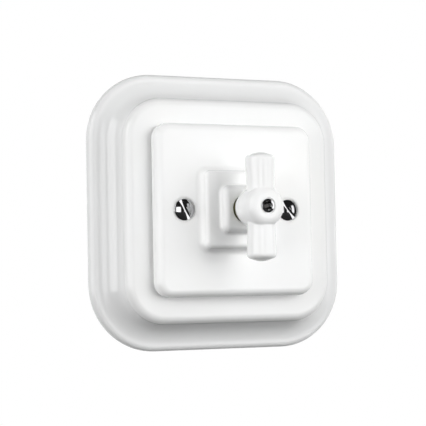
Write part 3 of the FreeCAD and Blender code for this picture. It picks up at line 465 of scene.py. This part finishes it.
surroundShape = {
    "cornerCentre": 25.5,
    "foot": 0.4,
    "rimHeight": 3.3,
    "rimRound": 1.9,
    "rimLand": 2.4,
    "coveRadius": 7.4,
    "ringFront": 13.8,
    "ringRound": 2.8,
    "openingHalf": 27.5,
    "openingRound": 0.5,
    "innerRadius": 11.4,
    "innerCentre": 11.1,
    "innerFront": 10.2,
    "innerStep": 2.4,
    "steps": {"foot": 4, "round": 12, "cove": 26, "opening": 6, "inner": 14, "corner": 30},
}


def makeSurround():
    s, steps = surroundShape, surroundShape["steps"]
    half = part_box("surround_frame")[1].x / mm
    coveU = half - s["rimLand"]
    coveP = s["rimHeight"] + s["coveRadius"]
    ringHalf = coveU - s["coveRadius"]
    under, innerRadius, innerP = s["innerFront"], s["innerRadius"], s["innerCentre"]
    stepP = under - s["innerStep"]
    innerU = coveU - math.sqrt(innerRadius ** 2 - (innerP - stepP) ** 2)
    footU = coveU - math.sqrt(innerRadius ** 2 - innerP ** 2)
    innerTurn = math.degrees(math.asin(innerP / innerRadius) - math.asin((innerP - stepP) / innerRadius))
    piece = newPiece("glazedSurround")
    penDown(footU, 0)
    penLine(half - s["foot"], 0)
    penArc(half - s["foot"], s["foot"], 90, steps["foot"])
    penLine(half, s["rimHeight"] - s["rimRound"])
    penArc(half - s["rimRound"], s["rimHeight"] - s["rimRound"], 90, steps["round"])
    penLine(coveU, s["rimHeight"])
    penArc(coveU, coveP, -90, steps["cove"])
    penLine(ringHalf, s["ringFront"] - s["ringRound"])
    penArc(ringHalf - s["ringRound"], s["ringFront"] - s["ringRound"], 90, steps["round"])
    openingU = s["openingHalf"] + s["openingRound"]
    penLine(openingU, s["ringFront"])
    penArc(openingU, s["ringFront"] - s["openingRound"], 90, steps["opening"])
    penLine(s["openingHalf"], under)
    penLine(innerU, under)
    penLine(innerU, stepP)
    penArc(coveU, innerP, innerTurn, steps["inner"])
    sweepSquare(piece, s["cornerCentre"], steps["corner"])
    closeShell()
    smoothFinish(piece)
    dress(piece, surroundGlaze, "switch_body", "porcelain", "surround_frame")


makeSurround()
print("surround modelled")


# The cover: plate, pedestal and tower in one shell, hollow behind, with two screw seats

coverShape = {
    "plateHalf": 30.75,
    "plateCorner": 5.5,
    "plateBack": 14.1,
    "plateFront": 19.5,
    "plateRound": 2.6,
    "plateFoot": 0.6,
    "lipHalf": 27.2,
    "lipBack": 10.8,
    "lipInside": 23.6,
    "ceiling": 15.5,
    "pedestalHalf": 13.7,
    "pedestalCorner": 2.2,
    "pedestalFront": 23.2,
    "pedestalRound": 1.3,
    "pedestalFoot": 2.3,
    "towerHalf": 8.2,
    "towerCorner": 2.4,
    "towerRound": 2.1,
    "towerFoot": 1.2,
    "coreHalf": 9.7,
    "coreCeiling": 19.2,
    "innerCorner": 2.0,
    "holeRadius": 4.85,
    "screwX": 20.4,
    "bossRadius": 5.25,
    "bossBack": 11.4,
    "screwHole": 2.2,
    "seatRadius": 3.5,
    "seatRim": 19.15,
    "seatHead": 3.86,
    "grooveRadius": 4.15,
    "dishRadius": 5.0,
    "edge": 0.3,
    "steps": {"edge": 3, "plateFoot": 6, "plateRound": 12, "foot": 8, "round": 10, "corner": 14,
              "holeEdge": 6, "hole": 96, "boss": 48, "seat": 72},
}


def makeCover():
    c, steps = coverShape, coverShape["steps"]
    hold, edge = pen["hold"], c["edge"]
    towerFront = -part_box("cover_plate")[0].y / mm
    piece = newPiece("glazedCover")
    centre = c["plateHalf"] - c["plateCorner"]
    penDown(c["lipHalf"] - edge, c["lipBack"])
    penArc(c["lipHalf"] - edge, c["lipBack"] + edge, 90, steps["edge"])
    penLine(c["lipHalf"], c["plateBack"])
    penLine(c["plateHalf"] - c["plateFoot"], c["plateBack"])
    penArc(c["plateHalf"] - c["plateFoot"], c["plateBack"] + c["plateFoot"], 90, steps["plateFoot"])
    penLine(c["plateHalf"], c["plateFront"] - c["plateRound"])
    roundU = c["plateHalf"] - c["plateRound"]
    penArc(roundU, c["plateFront"] - c["plateRound"], 90, steps["plateRound"])
    penLine(roundU - hold, c["plateFront"])
    sweepSquare(piece, centre, steps["corner"])
    for half, corner, foot, rounding, back, front in (
            (c["pedestalHalf"], c["pedestalCorner"], c["pedestalFoot"], c["pedestalRound"],
             c["plateFront"], c["pedestalFront"]),
            (c["towerHalf"], c["towerCorner"], c["towerFoot"], c["towerRound"],
             c["pedestalFront"], towerFront)):
        penDown(half + foot + hold, back)
        penLine(half + foot, back)
        penArc(half + foot, back + foot, -90, steps["foot"])
        penLine(half, front - rounding)
        penArc(half - rounding, front - rounding, 90, steps["round"])
        penLine(half - rounding - hold / 2, front)
        sweepSquare(piece, half - corner, steps["corner"])
    for half, back, front in ((c["coreHalf"], c["ceiling"], c["coreCeiling"]),
                              (c["lipInside"], c["lipBack"], c["ceiling"])):
        penDown(half - edge, front)
        penArc(half - edge, front - edge, -90, steps["edge"])
        penLine(half, back)
        sweepSquare(piece, half - c["innerCorner"], steps["corner"])
    for level in (c["lipBack"], c["ceiling"], c["plateFront"], c["pedestalFront"]):
        markOpen(piece, level)
        bpy.ops.mesh.bridge_edge_loops()
    for level in (c["coreCeiling"], towerFront):
        markOpen(piece, level)
        bpy.ops.mesh.fill()
    closeShell()
    hole = newPiece("hole")
    mouth = c["holeRadius"] + edge
    penDown(0, c["ceiling"])
    penLine(c["holeRadius"], c["ceiling"], plain=True)
    penLine(c["holeRadius"], towerFront - edge, plain=True)
    penArc(mouth, towerFront - edge, -90, steps["holeEdge"])
    penLine(mouth, towerFront + cutPast, plain=True)
    penLine(0, towerFront + cutPast, plain=True)
    sweepRound(hole, steps["hole"])
    closeShell()
    cutWith(piece, hole)
    bossTop = c["ceiling"] + edge
    bossPoints = (
        (0, c["bossBack"]), (c["bossRadius"], c["bossBack"]), (c["bossRadius"], bossTop), (0, bossTop))
    seatFloor = c["seatRim"] - (c["seatHead"] - c["seatRadius"])
    holeTop = c["seatRim"] - (c["seatHead"] - c["screwHole"])
    dishTop = c["plateFront"] + cutPast
    seatPoints = (
        (0, c["lipBack"]), (c["screwHole"], c["lipBack"]), (c["screwHole"], holeTop),
        (c["seatRadius"], seatFloor), (c["grooveRadius"], seatFloor), (c["grooveRadius"], c["seatRim"]),
        (c["dishRadius"], c["plateFront"]), (c["dishRadius"], dishTop), (0, dishTop))
    for name, points, way in (("boss", bossPoints, "UNION"), ("seat", seatPoints, "DIFFERENCE")):
        for side in (-1, 1):
            tool = turnTool(name, points, steps[name])
            tool.data.transform(Matrix.Translation((side * c["screwX"] * mm, 0, 0)))
            cutWith(piece, tool, way)
    smoothFinish(piece)
    dress(piece, glaze, "switch_body", "porcelain", "cover_plate")


makeCover()
print("cover modelled")


# The knob: a turned barrel crossed by a turned bar, melted together where the glaze runs round the joint

knobShape = {
    "rear": 28.5,
    "rearRound": 0.8,
    "radius": 7.05,
    "bulge": 14.0,
    "widest": 35.6,
    "frontRound": 3.0,
    "span": 18.85,
    "endRadius": 5.2,
    "neckRadius": 4.8,
    "neckHalf": 8.0,
    "dome": 0.9,
    "endRound": 1.6,
    "wingSetBack": 5.8,
    "voxel": 0.2,
    "melt": 14,
    "meltFactor": 0.5,
    "socketHalf": 2.2,
    "socketEnd": 40.1,
    "seatRadius": 2.1,
    "seatHead": 2.43,
    "grooveRadius": 2.8,
    "screwHole": 1.35,
    "steps": {"rear": 6, "belly": 12, "front": 20, "bar": 10, "turn": 96},
}


def makeKnob():
    k, steps = knobShape, knobShape["steps"]
    front = -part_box("knob")[0].y / mm
    wingP = front - k["wingSetBack"]
    piece = newPiece("glazedKnob")
    # the rear edge's small arc runs into the long arc of the belly without a corner
    middle = k["radius"] - k["bulge"]
    rise = k["widest"] - k["rear"] - k["rearRound"]
    rearFlat = middle + math.sqrt((k["bulge"] - k["rearRound"]) ** 2 - rise ** 2)
    lean = math.degrees(math.asin(rise / (k["bulge"] - k["rearRound"])))
    penDown(0, k["rear"])
    penLine(rearFlat, k["rear"])
    penArc(rearFlat, k["rear"] + k["rearRound"], 90 - lean, steps["rear"])
    penArc(middle, k["widest"], lean, steps["belly"])
    penLine(k["radius"], front - k["frontRound"])
    penArc(k["radius"] - k["frontRound"], front - k["frontRound"], 90, steps["front"])
    penLine(0, front)
    sweepRound(piece, steps["turn"])
    closeShell()
    bar = newPiece("wings")
    flat = k["endRadius"] - k["endRound"]
    tip = k["span"] - k["dome"]
    domeRadius = (flat ** 2 + k["dome"] ** 2) / (2 * k["dome"])
    domeTurn = math.degrees(math.asin(flat / domeRadius))
    # drawn along Y and turned upright afterwards
    penDown(0, -k["span"])
    penArc(0, domeRadius - k["span"], domeTurn, steps["bar"])
    penArc(flat, k["endRound"] - tip, 90, steps["bar"])
    penLine(k["neckRadius"], -k["neckHalf"])
    penLine(k["neckRadius"], k["neckHalf"])
    penLine(k["endRadius"], tip - k["endRound"])
    penArc(flat, tip - k["endRound"], 90, steps["bar"])
    penArc(0, k["span"] - domeRadius, domeTurn, steps["bar"])
    sweepRound(bar, steps["turn"])
    closeShell()
    bar.data.transform(Matrix.Translation((0, -wingP * mm, 0)) @ Matrix.Rotation(quarter, 4, "X"))
    cutWith(piece, bar, "UNION")
    applyModifier(piece, "REMESH", mode="VOXEL", voxel_size=k["voxel"] * mm, adaptivity=0.0)
    applyModifier(piece, "SMOOTH", factor=k["meltFactor"], iterations=k["melt"])
    socketWidth, socketStart = k["socketHalf"] * 2, k["rear"] - cutPast
    socketPlace = Vector((0, -(k["socketEnd"] + socketStart) / 2, 0)) * mm
    cutWith(piece, addCutter((socketWidth, k["socketEnd"] - socketStart, socketWidth), socketPlace))
    holeStart, holeTop = k["socketEnd"] - cutPast, front - (k["seatHead"] - k["screwHole"])
    seatFloor, seatTop = front - (k["seatHead"] - k["seatRadius"]), front + cutPast
    cutWith(piece, turnTool("seat", (
        (0, holeStart), (k["screwHole"], holeStart), (k["screwHole"], holeTop),
        (k["seatRadius"], seatFloor), (k["grooveRadius"], seatFloor),
        (k["grooveRadius"], seatTop), (0, seatTop)), steps["turn"]))
    smoothFinish(piece)
    dress(piece, glaze, "knob_assembly", "porcelain", "knob")


makeKnob()
print("knob modelled")


# The visible screws: raised countersunk heads with crisp slots, and the knob's cross recess

coverScrew = {
    "rim": coverShape["seatRim"], "head": 3.8, "dome": 1.15, "shank": 2.0, "length": 15.0, "edge": 0.045,
    "slot": (1.2, 1.1), "slotLength": 12.0, "body": "switch_body",
}
screwShapes = {
    "cover_screw_left": {
        **coverScrew, "name": "slottedScrewLeft", "x": -coverShape["screwX"], "turn": 26,
    },
    "cover_screw_right": {
        **coverScrew, "name": "slottedScrewRight", "x": coverShape["screwX"], "turn": 38,
    },
    "knob_screw": {
        "rim": 44.0, "head": 2.35, "dome": 0.38, "shank": 1.25, "length": 9.0, "edge": 0.10,
        "slot": (1.15, 1.8), "slotLength": 3.3, "bore": 1.25, "taper": 0.1, "body": "knob_assembly",
        "name": "crossScrew", "x": 0.0, "turn": 12,
    },
}
screwMake = {"rimEdge": 0.12, "tipEdge": 0.4, "domeSteps": 28, "turnSteps": 72, "boreSteps": 48,
             "bevelAngle": 38, "sharpAngle": 35}


def makeScrew(node):
    s = screwShapes[node]
    ball = (s["head"] ** 2 + s["dome"] ** 2) / (2 * s["dome"])
    reach = math.degrees(math.asin(s["head"] / ball))
    top, tip = s["rim"] + s["dome"], s["rim"] - s["length"]
    under, shankTip = s["rim"] - screwMake["rimEdge"], s["shank"] - screwMake["tipEdge"]
    piece = newPiece(s["name"])
    penDown(0, top)
    penArc(0, top - ball, -reach, screwMake["domeSteps"])
    penLine(s["head"], under, plain=True)
    penLine(s["shank"], under - (s["head"] - s["shank"]), plain=True)
    penLine(s["shank"], tip + screwMake["tipEdge"], plain=True)
    penLine(shankTip, tip, plain=True)
    penLine(0, tip, plain=True)
    sweepRound(piece, screwMake["turnSteps"])
    closeShell()
    piece.data.transform(Matrix.Translation((s["x"] * mm, 0, 0)))
    width, depth = s["slot"]
    bottom = top - depth
    chrome = finishes["bright_chrome"]
    if "bore" in s:
        # the cross-recessed head gets the chrome with painted shade in its recess
        chrome = shadedRecessChrome
        cutWith(piece, turnTool("bore", (
            (0, bottom), (s["bore"], top), (s["bore"], top + cutPast), (0, top + cutPast)),
            screwMake["boreSteps"]))
        for quarterTurn in (0, 90):
            addSlot(piece, width, s["slotLength"], bottom, s["x"], s["turn"] + quarterTurn, s["taper"])
    else:
        addSlot(piece, width, s["slotLength"], bottom, s["x"], s["turn"])
    bevelEdges(piece, s["edge"], screwMake["bevelAngle"])
    smoothFinish(piece, screwMake["sharpAngle"])
    dress(piece, chrome, s["body"], "bright_chrome", node)


for screwName in screwShapes:
    makeScrew(screwName)
print("screws modelled")


# The brass collar behind the knob, turned in one with the flange that clamps the works

bushShape = {
    "collarRadius": 4.6,
    "collarFoot": 18.0,
    "stemRadius": 5.0,
    "wall": 1.94,
    "edge": 0.35,
    "steps": {"edge": 6, "turn": 72},
}


def makeBush():
    b, steps = bushShape, bushShape["steps"]
    low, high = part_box("spindle_bush")
    front, rear, flange = -low.y / mm, -high.y / mm, high.x / mm
    inside = b["stemRadius"] - b["wall"]
    piece = newPiece("turnedBush")
    penDown(inside, rear)
    penLine(flange, rear)
    penLine(flange, 0)
    penLine(b["stemRadius"], 0)
    penLine(b["stemRadius"], b["collarFoot"])
    penLine(b["collarRadius"], b["collarFoot"] + b["edge"])
    penLine(b["collarRadius"], front - b["edge"])
    penArc(b["collarRadius"] - b["edge"], front - b["edge"], 90, steps["edge"])
    penLine(inside, front)
    penLine(inside, rear)
    sweepRound(piece, steps["turn"])
    closeShell()
    smoothFinish(piece)
    dress(piece, finishes["darkBrass"], "switch_body", "brass", "spindle_bush")


makeBush()
print("bush modelled")


# The claw screws: the thread is turned as close rings, so it catches the light in every view

clawScrewShape = {
    "radius": 1.5,
    "rootRadius": 1.24,
    "pitch": 0.5,
    "plainLength": 1.0,
    "headRadius": 2.6,
    "headHeight": 2.0,
    "headRound": 0.5,
    "tipEdge": 0.4,
    "slot": (0.8, 0.9),
    "slotLength": 8.0,
    "sharpAngle": 30,
    "steps": {"head": 5, "turn": 32},
}
clawScrews = {
    "claw_screw_left": ("threadedScrewLeft", 15),
    "claw_screw_right": ("threadedScrewRight", 70),
}


def makeClawScrew(node):
    s, steps = clawScrewShape, clawScrewShape["steps"]
    name, turn = clawScrews[node]
    low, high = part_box(node)
    top, tip = -low.y / mm, -high.y / mm
    under = top - s["headHeight"]
    faceRadius = s["headRadius"] - s["headRound"]
    piece = newPiece(name)
    penDown(0, top)
    penLine(faceRadius, top, plain=True)
    penArc(faceRadius, top - s["headRound"], -90, steps["head"])
    penLine(s["headRadius"], under, plain=True)
    penLine(s["radius"], under, plain=True)
    level = under - s["plainLength"]
    while level > tip + s["plainLength"]:
        penLine(s["radius"], level, plain=True)
        penLine(s["rootRadius"], level - s["pitch"] / 2, plain=True)
        level -= s["pitch"]
    penLine(s["radius"], level, plain=True)
    penLine(s["radius"] - s["tipEdge"], tip, plain=True)
    penLine(0, tip, plain=True)
    sweepRound(piece, steps["turn"])
    closeShell()
    width, depth = s["slot"]
    addSlot(piece, width, s["slotLength"], top - depth, 0, turn)
    piece.data.transform(Matrix.Translation(((low.x + high.x) / 2, 0, (low.z + high.z) / 2)))
    smoothFinish(piece, s["sharpAngle"])
    dress(piece, finishes["plated_steel"], nodes[node]["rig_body"], "plated_steel", node)


for screwName in clawScrews:
    makeClawScrew(screwName)
print("claw screws modelled")


# Fired, moulded and pressed pieces behind the wall: a copy of each solid with its edges eased

easedPieces = {
    "contact_base": ("firedBase", 0.30),
    "front_housing": ("mouldedHousing", 0.20),
    "support_strap": ("pressedStrap", 0.12),
    "claw_left": ("pressedClawLeft", 0.10),
    "claw_right": ("pressedClawRight", 0.10),
    "claw_nut_left": ("squareNutLeft", 0.22),
    "claw_nut_right": ("squareNutRight", 0.22),
    "assembly_screw_upper": ("baseScrewUpper", 0.10),
    "assembly_screw_lower": ("baseScrewLower", 0.10),
    "terminal_clamp_1": ("terminalBlock1", 0.15),
    "terminal_clamp_2": ("terminalBlock2", 0.15),
    "terminal_clamp_3": ("terminalBlock3", 0.15),
    "terminal_clamp_4": ("terminalBlock4", 0.15),
}
easing = {"flatAngle": 0.5, "bevelAngle": 40, "sharpAngle": 35}
slotNames = {part["node"]: part["material_slot"] for part in frame["record"]["subparts"]}


def easeEdges(node):
    name, width = easedPieces[node]
    source = nodes[node]
    piece = source.copy()
    piece.data = source.data.copy()
    piece.parent = None
    piece.name = piece.data.name = name
    for key in list(piece.keys()):
        del piece[key]
    bpy.context.scene.collection.objects.link(piece)
    pick(piece)
    bpy.ops.object.mode_set(mode="EDIT")
    bpy.ops.mesh.select_all(action="SELECT")
    bpy.ops.mesh.customdata_custom_splitnormals_clear()
    bpy.ops.mesh.remove_doubles(threshold=weldGap)
    bpy.ops.mesh.dissolve_limited(angle_limit=math.radians(easing["flatAngle"]))
    bpy.ops.object.mode_set(mode="OBJECT")
    bevelEdges(piece, width, easing["bevelAngle"])
    smoothFinish(piece, easing["sharpAngle"])
    dress(piece, finishes[slotNames[node]], source["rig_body"], slotNames[node], node)


for nodeName in easedPieces:
    easeEdges(nodeName)
print("works behind the wall finished")


# Camera: the photograph's view, from the left and a little below

cameraLook = {
    "yaw": 24.55,
    "elevation": -3.1,
    "roll": -1.16,
    "aim": (-0.0062, -0.012, -0.00071),
    "distance": 0.5184,
    "lens": 121.67,
    "sensor": 36,
    "nearest": 0.01,
}


def wayTo(side, lift):
    # a direction away from the part: side turns to the left and lift upwards
    return Vector((-math.sin(side) * math.cos(lift), -math.cos(side) * math.cos(lift), math.sin(lift)))


def addCamera():
    yaw, lift, roll = (math.radians(cameraLook[k]) for k in ("yaw", "elevation", "roll"))
    back = wayTo(yaw, lift)
    right = (-back).cross(Vector((0, 0, 1))).normalized()
    up = right.cross(-back)
    across = math.cos(roll) * right + math.sin(roll) * up
    upright = math.cos(roll) * up - math.sin(roll) * right
    data = bpy.data.cameras.new("camera")
    data.lens = cameraLook["lens"]
    data.sensor_width = cameraLook["sensor"]
    data.clip_start = cameraLook["nearest"]
    camera = bpy.data.objects.new("camera", data)
    turn = Matrix((across, upright, back)).transposed().to_4x4()
    place = Vector(cameraLook["aim"]) + back * cameraLook["distance"]
    camera.matrix_world = Matrix.Translation(place) @ turn
    bpy.context.scene.collection.objects.link(camera)
    bpy.context.scene.camera = camera


addCamera()
print("camera placed")


# Light: soft boxes that neither the camera nor mirrors see, at levels that give the photograph's greys

boxes = {
    "leftBox": {"side": 80, "lift": 0, "away": 1.6, "size": (0.75, 0.80), "level": 7.8},
    "keyBox": {"side": -30, "lift": 13, "away": 1.6, "size": (1.10, 1.30), "level": 3.95},
    "rightBox": {"side": -66, "lift": 8, "away": 1.6, "size": (0.90, 1.20), "level": 2.2},
    "lowBox": {"side": -30, "lift": -30, "away": 0.55, "size": (0.62, 0.21), "level": 0.80},
    "frontBox": {"side": 50, "lift": 25, "away": 1.6, "size": (1.00, 0.70), "level": 2.3},
    "topBox": {"side": 0, "lift": 55, "away": 1.6, "size": (0.90, 0.60), "level": 1.7},
    "cornerBox": {"side": 120, "lift": 25, "away": 1.6, "size": (0.55, 0.70), "level": 2.3},
    "backBox": {"side": 180, "lift": 18, "away": 1.6, "size": (1.40, 1.20), "level": 3.2},
}


def addBoxes():
    for name, box in boxes.items():
        way = wayTo(math.radians(box["side"]), math.radians(box["lift"]))
        data = bpy.data.lights.new(name, "AREA")
        data.shape = "RECTANGLE"
        data.size, data.size_y = box["size"]
        data.energy = box["level"] * math.pi * data.size * data.size_y
        lamp = bpy.data.objects.new(name, data)
        lamp.location = way * box["away"]
        lamp.rotation_euler = way.to_track_quat("Z", "Y").to_euler()
        lamp.visible_camera = False
        lamp.visible_glossy = False
        bpy.context.scene.collection.objects.link(lamp)


addBoxes()


# Mirrors see a dark room with these panels in it: side is the angle to the left, in degrees.
# Towards the rear they see white, but for what lies far above or below; the camera sees white all round.

worldLook = {
    "above": 0.05,
    "below": 0.01,
    "room": 0.03,
    "behind": 1.0,
    "heightRange": (-0.4, 0.8),
    "rearRange": (0.1, 0.3),
    "farRange": (0.3, 0.65),
    "panelEdge": 3,
    "panels": (
        {"side": (47, 95), "lift": (-22, 38), "level": 4.3},
        {"side": (8, 35), "lift": (-20, 18), "level": 3.0},
        {"side": (-35, -14), "lift": (-9, 14), "level": 2.5},
        {"side": (-66, -48), "lift": (-9, 24), "level": 2.5},
    ),
}


def makeWorld():
    look = worldLook
    world = bpy.data.worlds.new("studio")
    bpy.context.scene.world = world
    world.use_nodes = True
    tree = world.node_tree
    background = tree.nodes["Background"]
    background.inputs["Color"].default_value = (1, 1, 1, 1)
    coords = tree.nodes.new("ShaderNodeTexCoord")
    split = tree.nodes.new("ShaderNodeSeparateXYZ")
    tree.links.new(coords.outputs["Generated"], split.inputs["Vector"])
    path = tree.nodes.new("ShaderNodeLightPath")

    def reckon(operation, *values):
        return mathNode(tree, operation, *values)

    def choose(factor, low, high):
        return reckon("ADD", reckon("MULTIPLY", reckon("SUBTRACT", 1.0, factor), low),
                      reckon("MULTIPLY", factor, high))

    side = reckon("ARCTAN2", reckon("MULTIPLY", split.outputs["X"], -1.0),
                  reckon("MULTIPLY", split.outputs["Y"], -1.0))
    lift = reckon("ARCSINE", split.outputs["Z"])
    edge = math.radians(look["panelEdge"])
    mirror = look["room"]
    for panel in look["panels"]:
        glow = panel["level"]
        for angle, limits in ((side, panel["side"]), (lift, panel["lift"])):
            low, high = (math.radians(limit) for limit in limits)
            into = rangeNode(tree, angle, low - edge, low + edge)
            out = rangeNode(tree, angle, high - edge, high + edge, 1.0, 0.0)
            glow = reckon("MULTIPLY", glow, reckon("MULTIPLY", into, out))
        mirror = reckon("ADD", mirror, glow)
    rear = rangeNode(tree, split.outputs["Y"], *look["rearRange"])
    far = rangeNode(tree, reckon("ABSOLUTE", lift), *look["farRange"], look["behind"], look["room"])
    mirror = choose(rear, mirror, far)
    soft = rangeNode(tree, split.outputs["Z"], *look["heightRange"], look["below"], look["above"])
    seen = choose(path.outputs["Is Glossy Ray"], soft, mirror)
    seen = choose(path.outputs["Is Transmission Ray"], seen, mirror)
    seen = choose(path.outputs["Is Camera Ray"], seen, 1.0)
    tree.links.new(seen, background.inputs["Strength"])


# The floor is pale to the camera, and to mirrors behind the wall; it is dark to all other rays, so that
# undersides stay dark

floorLook = {
    "height": -0.40,
    "size": 3.6,
    "glow": 0.68,
    "pale": (0.30, 0.30, 0.30),
    "dark": (0.03, 0.03, 0.03),
    "rough": 0.8,
    "rearRange": (0.0, 0.3),
}


def addFloor():
    bpy.ops.object.select_all(action="DESELECT")
    bpy.ops.mesh.primitive_plane_add(size=floorLook["size"], location=(0, 0, floorLook["height"]))
    floor = bpy.context.active_object
    floor.name = "paleFloor"
    mat, tree, shader, coords = newMaterial("paleFloor", floorLook["pale"], floorLook["rough"])
    split = tree.nodes.new("ShaderNodeSeparateXYZ")
    tree.links.new(coords, split.inputs["Vector"])
    path = tree.nodes.new("ShaderNodeLightPath")
    rear = rangeNode(tree, split.outputs["Y"], *floorLook["rearRange"])
    mirrored = mathNode(tree, "MULTIPLY", path.outputs["Is Glossy Ray"], rear)
    shown = mathNode(tree, "MAXIMUM", path.outputs["Is Camera Ray"], mirrored)
    colour = mixColour(tree, shown, floorLook["dark"], floorLook["pale"])
    tree.links.new(colour, shader.inputs["Base Color"])
    shader.inputs["Emission Color"].default_value = (1, 1, 1, 1)
    glow = rangeNode(tree, shown, 0.0, 1.0, 0.0, floorLook["glow"])
    tree.links.new(glow, shader.inputs["Emission Strength"])
    floor.data.materials.append(mat)


makeWorld()
addFloor()
bpy.context.scene.view_settings.view_transform = "Standard"
print("light set")
